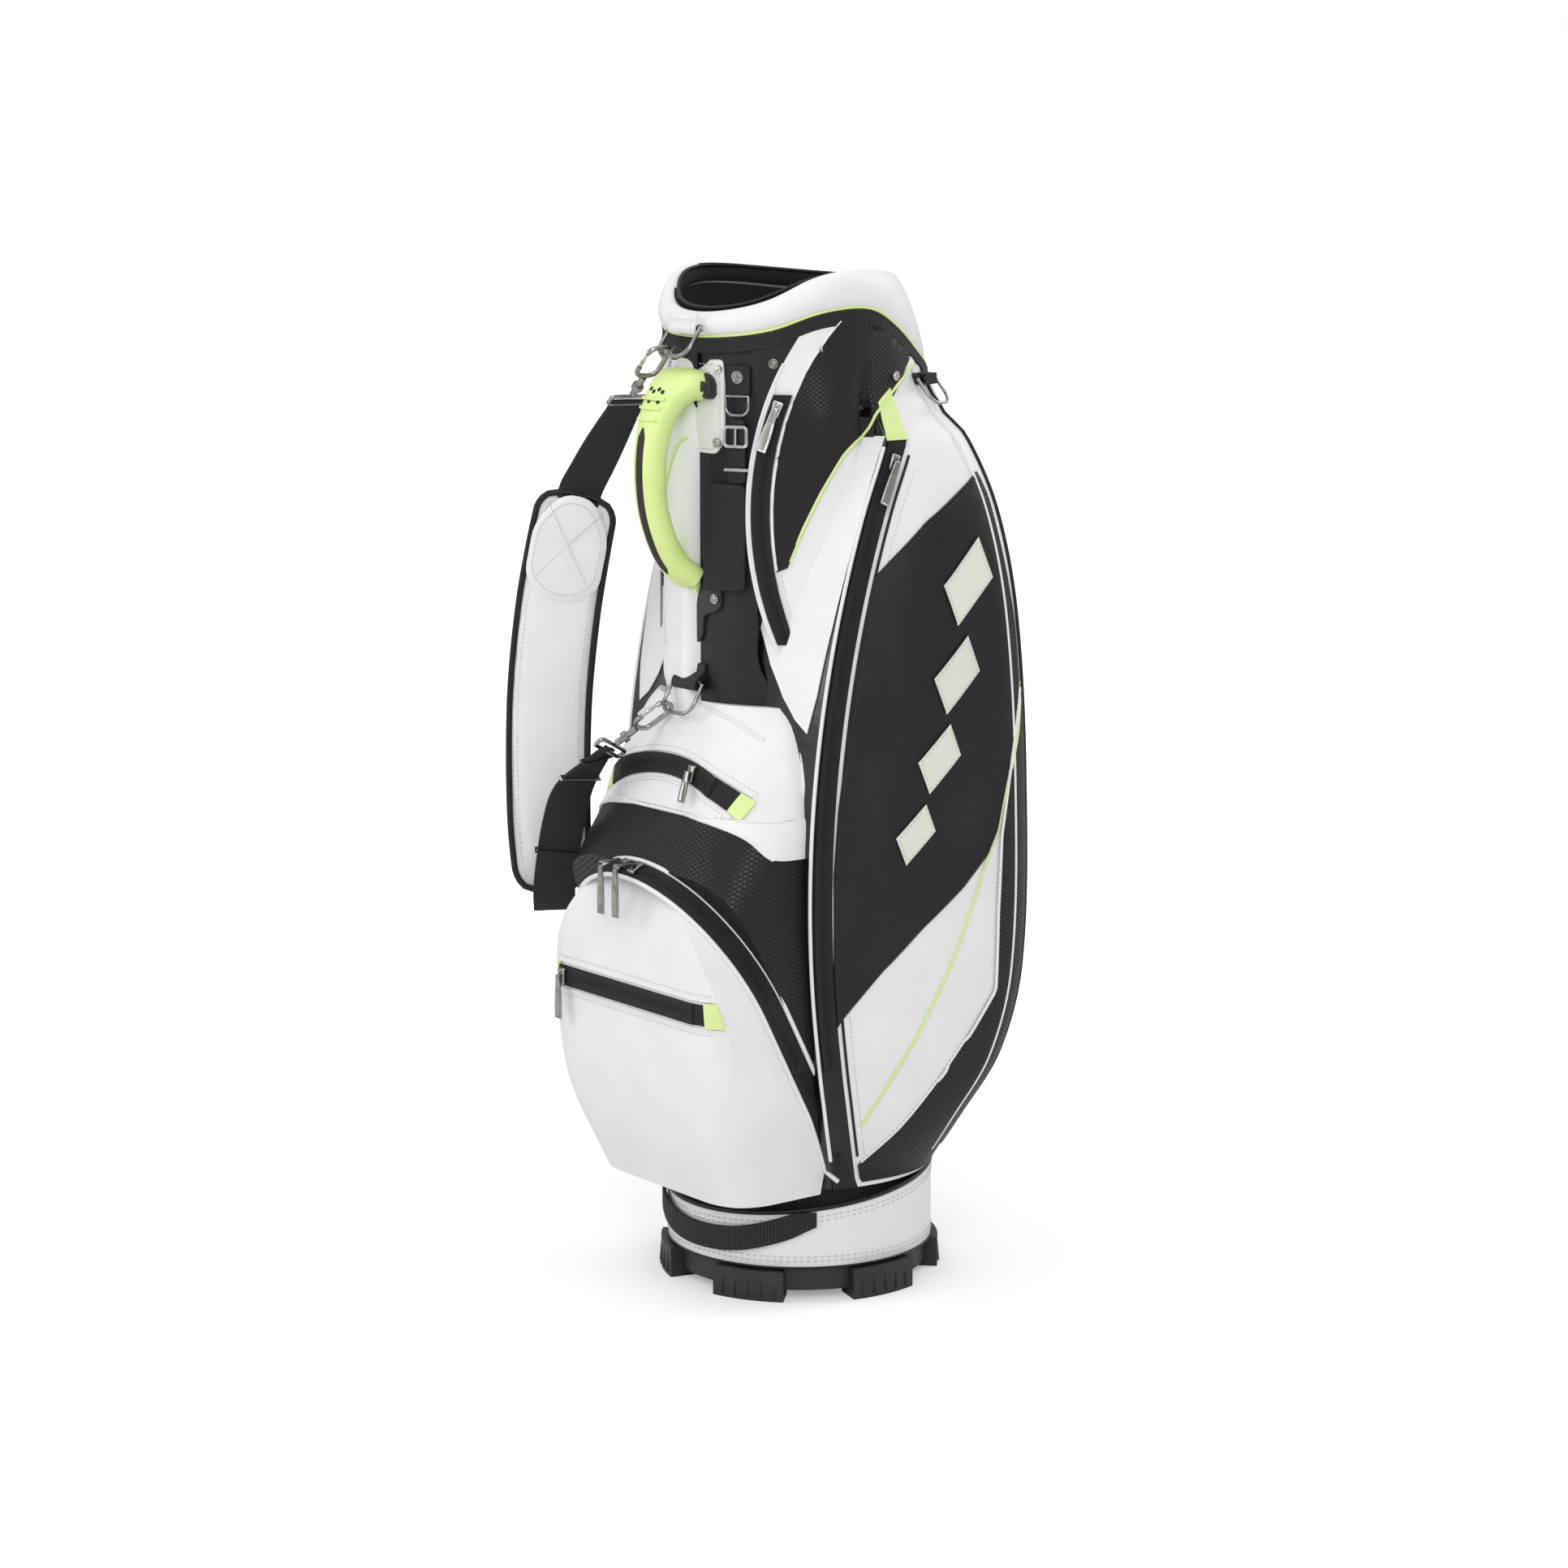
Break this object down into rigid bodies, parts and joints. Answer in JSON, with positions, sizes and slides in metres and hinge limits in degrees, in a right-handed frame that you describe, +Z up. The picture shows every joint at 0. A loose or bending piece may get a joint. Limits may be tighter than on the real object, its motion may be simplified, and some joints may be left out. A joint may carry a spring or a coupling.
{
  "type": "golf staff bag",
  "caption": "Round golf staff bag with divided mouth, carry handle, shoulder strap, zipped side and front pockets and a footed moulded base.",
  "frame": {"origin": "middle of the base on the ground", "axes": "+Z up, -Y the front with the handle and ball pocket, +X the right-hand side seen from behind the ball pocket"},
  "size_m": [0.3911, 0.3516, 0.893],
  "materials": {
    "white_leather": "smooth coated leather",
    "black_leather": "smooth coated leather",
    "black_mesh": "embossed diamond texture",
    "lime_moulding": "satin moulding",
    "gunmetal": "polished gunmetal plating",
    "black_moulding": "fine grain moulding",
    "tube_shell": "satin",
    "black_webbing": "woven webbing"
  },
  "bodies": {
    "bag": {"back_spine": "black_leather", "bag_tube": "tube_shell", "ball_front_zip": "black_webbing", "ball_pocket": "white_leather", "ball_zip": "black_webbing", "base_band": "white_leather", "base_feet": "black_moulding", "base_moulding": "black_moulding", "club_divider": "black_moulding", "cuff_webbing": "black_webbing", "front_panel": "black_leather", "garment_pocket_left": "white_leather", "garment_pocket_right": "white_leather", "garment_zips": "black_webbing", "handle_bracket": "black_moulding", "handle_grip": "lime_moulding", "handle_patch": "white_leather", "handle_screws": "gunmetal", "lift_loop": "black_webbing", "mid_ring_tab": "black_leather", "pocket_gusset": "black_mesh", "snap_studs": "gunmetal", "tag_tab": "black_leather", "top_cuff": "white_leather", "top_frame": "black_moulding", "top_ring_tab": "white_leather", "upper_front_pocket": "white_leather", "upper_front_zip": "black_webbing", "upper_pocket_left": "black_mesh", "upper_pocket_right": "black_mesh", "upper_zips": "black_webbing"},
    "strap": {"top_hook": "gunmetal", "lower_hook": "gunmetal", "strap_webbing": "black_webbing", "strap_pad": "white_leather"},
    "top_ring": {"top_ring": "gunmetal"},
    "mid_ring": {"mid_ring": "gunmetal"},
    "top_hook_gate": {"top_hook_gate": "gunmetal"},
    "lower_hook_gate": {"lower_hook_gate": "gunmetal"},
    "tag_ring": {"tag_ring": "gunmetal"},
    "tag_strap": {"tag_strap": "black_leather", "tag_buckle": "gunmetal"},
    "name_tag": {"name_tag": "black_leather"},
    "towel_ring": {"towel_ring": "gunmetal"},
    "ball_front_pull": {"ball_front_pull": "gunmetal"},
    "ball_front_slider": {"ball_front_slider": "gunmetal"},
    "ball_pull_left": {"ball_pull_left": "gunmetal"},
    "ball_pull_right": {"ball_pull_right": "gunmetal"},
    "ball_slider_left": {"ball_slider_left": "gunmetal"},
    "ball_slider_right": {"ball_slider_right": "gunmetal"},
    "garment_pull_left": {"garment_pull_left": "gunmetal"},
    "garment_pull_right": {"garment_pull_right": "gunmetal"},
    "garment_slider_left": {"garment_slider_left": "gunmetal"},
    "garment_slider_right": {"garment_slider_right": "gunmetal"},
    "upper_front_pull": {"upper_front_pull": "gunmetal"},
    "upper_front_slider": {"upper_front_slider": "gunmetal"},
    "upper_pull_left": {"upper_pull_left": "gunmetal"},
    "upper_pull_right": {"upper_pull_right": "gunmetal"},
    "upper_slider_left": {"upper_slider_left": "gunmetal"},
    "upper_slider_right": {"upper_slider_right": "gunmetal"}
  },
  "joints": [
    {"name": "strap_swing", "type": "hinge", "parent": "bag", "child": "strap", "pos_m": [-0.01747, -0.13824, 0.82423], "axis": [0, -0.0083, 1], "range_deg": [0, 13]},
    {"name": "top_ring_tip", "type": "hinge", "parent": "bag", "child": "top_ring", "pos_m": [0, -0.123, 0.846], "axis": [-1, 0, 0], "range_deg": [-2, 2]},
    {"name": "mid_ring_tip", "type": "hinge", "parent": "bag", "child": "mid_ring", "pos_m": [0, -0.1224, 0.541], "axis": [-1, 0, 0], "range_deg": [-1, 1]},
    {"name": "top_hook_gate_open", "type": "hinge", "parent": "strap", "child": "top_hook_gate", "pos_m": [-0.02728, -0.1498, 0.81401], "axis": [-0.7215, 0, 0.6924], "range_deg": [0, 14], "stiffness_Nm_per_rad": 0.02},
    {"name": "lower_hook_gate_open", "type": "hinge", "parent": "strap", "child": "lower_hook_gate", "pos_m": [-0.02182, -0.15286, 0.51346], "axis": [-0.7216, 0, 0.6923], "range_deg": [0, 14], "stiffness_Nm_per_rad": 0.02},
    {"name": "garment_slider_right_run", "type": "hinge", "parent": "bag", "child": "garment_slider_right", "pos_m": [0, 0.918, 0.36], "axis": [1, 0, 0], "range_deg": [-0.4, 28]},
    {"name": "garment_pull_right_lift", "type": "hinge", "parent": "garment_slider_right", "child": "garment_pull_right", "pos_m": [0.1456, -0.00809, 0.73732], "axis": [0, -0.927, 0.375], "range_deg": [0, 95]},
    {"name": "upper_slider_right_run", "type": "hinge", "parent": "bag", "child": "upper_slider_right", "pos_m": [0.2855, 0.066, 0.69], "axis": [0.6, -0.8, 0], "range_deg": [-0.5, 36]},
    {"name": "upper_pull_right_lift", "type": "hinge", "parent": "upper_slider_right", "child": "upper_pull_right", "pos_m": [0.08828, -0.09391, 0.78236], "axis": [-0.7542, -0.5657, 0.3333], "range_deg": [0, 95]},
    {"name": "ball_slider_right_run", "type": "hinge", "parent": "bag", "child": "ball_slider_right", "pos_m": [0, -0.1176, 0.27696], "axis": [0, 0.8883, 0.4592], "range_deg": [0, 68]},
    {"name": "ball_pull_right_lift", "type": "hinge", "parent": "ball_slider_right", "child": "ball_pull_right", "pos_m": [0.01072, -0.18763, 0.39227], "axis": [-1, 0, 0], "range_deg": [0, 60]},
    {"name": "garment_slider_left_run", "type": "hinge", "parent": "bag", "child": "garment_slider_left", "pos_m": [0, 0.918, 0.36], "axis": [1, 0, 0], "range_deg": [-0.4, 28]},
    {"name": "garment_pull_left_lift", "type": "hinge", "parent": "garment_slider_left", "child": "garment_pull_left", "pos_m": [-0.1456, -0.00809, 0.73732], "axis": [0, 0.927, -0.375], "range_deg": [0, 95]},
    {"name": "upper_slider_left_run", "type": "hinge", "parent": "bag", "child": "upper_slider_left", "pos_m": [-0.2855, 0.066, 0.69], "axis": [0.6, 0.8, 0], "range_deg": [-0.5, 36]},
    {"name": "upper_pull_left_lift", "type": "hinge", "parent": "upper_slider_left", "child": "upper_pull_left", "pos_m": [-0.08828, -0.09391, 0.78236], "axis": [-0.7542, 0.5657, -0.3333], "range_deg": [0, 95]},
    {"name": "ball_slider_left_run", "type": "hinge", "parent": "bag", "child": "ball_slider_left", "pos_m": [0, -0.1176, 0.27696], "axis": [0, -0.8883, -0.4592], "range_deg": [0, 68]},
    {"name": "ball_pull_left_lift", "type": "hinge", "parent": "ball_slider_left", "child": "ball_pull_left", "pos_m": [-0.01072, -0.18763, 0.39227], "axis": [-1, 0, 0], "range_deg": [0, 60]},
    {"name": "ball_front_slider_run", "type": "slide", "parent": "bag", "child": "ball_front_slider", "axis": [1, 0, 0], "range_m": [0, 0.175]},
    {"name": "ball_front_pull_lift", "type": "hinge", "parent": "ball_front_slider", "child": "ball_front_pull", "pos_m": [-0.09, -0.1997, 0.2785], "axis": [-1, 0, 0], "range_deg": [0, 95]},
    {"name": "upper_front_slider_run", "type": "hinge", "parent": "bag", "child": "upper_front_slider", "pos_m": [0, -0.18895, 0.29207], "axis": [0, 0.9674, -0.2534], "range_deg": [-10, 8]},
    {"name": "upper_front_pull_lift", "type": "hinge", "parent": "upper_front_slider", "child": "upper_front_pull", "pos_m": [0.03867, -0.15151, 0.47292], "axis": [-1, 0, 0], "range_deg": [0, 95]},
    {"name": "tag_ring_swing", "type": "hinge", "parent": "bag", "child": "tag_ring", "pos_m": [0.05252, -0.10768, 0.79], "axis": [-0.8988, -0.4384, 0], "range_deg": [0, 40]},
    {"name": "tag_strap_swing", "type": "hinge", "parent": "tag_ring", "child": "tag_strap", "pos_m": [0.05252, -0.10768, 0.7724], "axis": [-0.8988, -0.4384, 0], "range_deg": [0, 40]},
    {"name": "name_tag_swing", "type": "hinge", "parent": "tag_strap", "child": "name_tag", "pos_m": [0.05265, -0.10794, 0.7154], "axis": [-0.8988, -0.4384, 0], "range_deg": [0, 40]},
    {"name": "towel_ring_lift", "type": "hinge", "parent": "bag", "child": "towel_ring", "pos_m": [0.11645, 0.04705, 0.802], "axis": [0.3746, -0.9272, 0], "range_deg": [0, 60]}
  ],
  "couplings": [
    {"joint": "ball_pull_right_lift", "follows": "ball_slider_right_run", "ratio": 0.8},
    {"joint": "ball_pull_left_lift", "follows": "ball_slider_left_run", "ratio": 0.8}
  ]
}
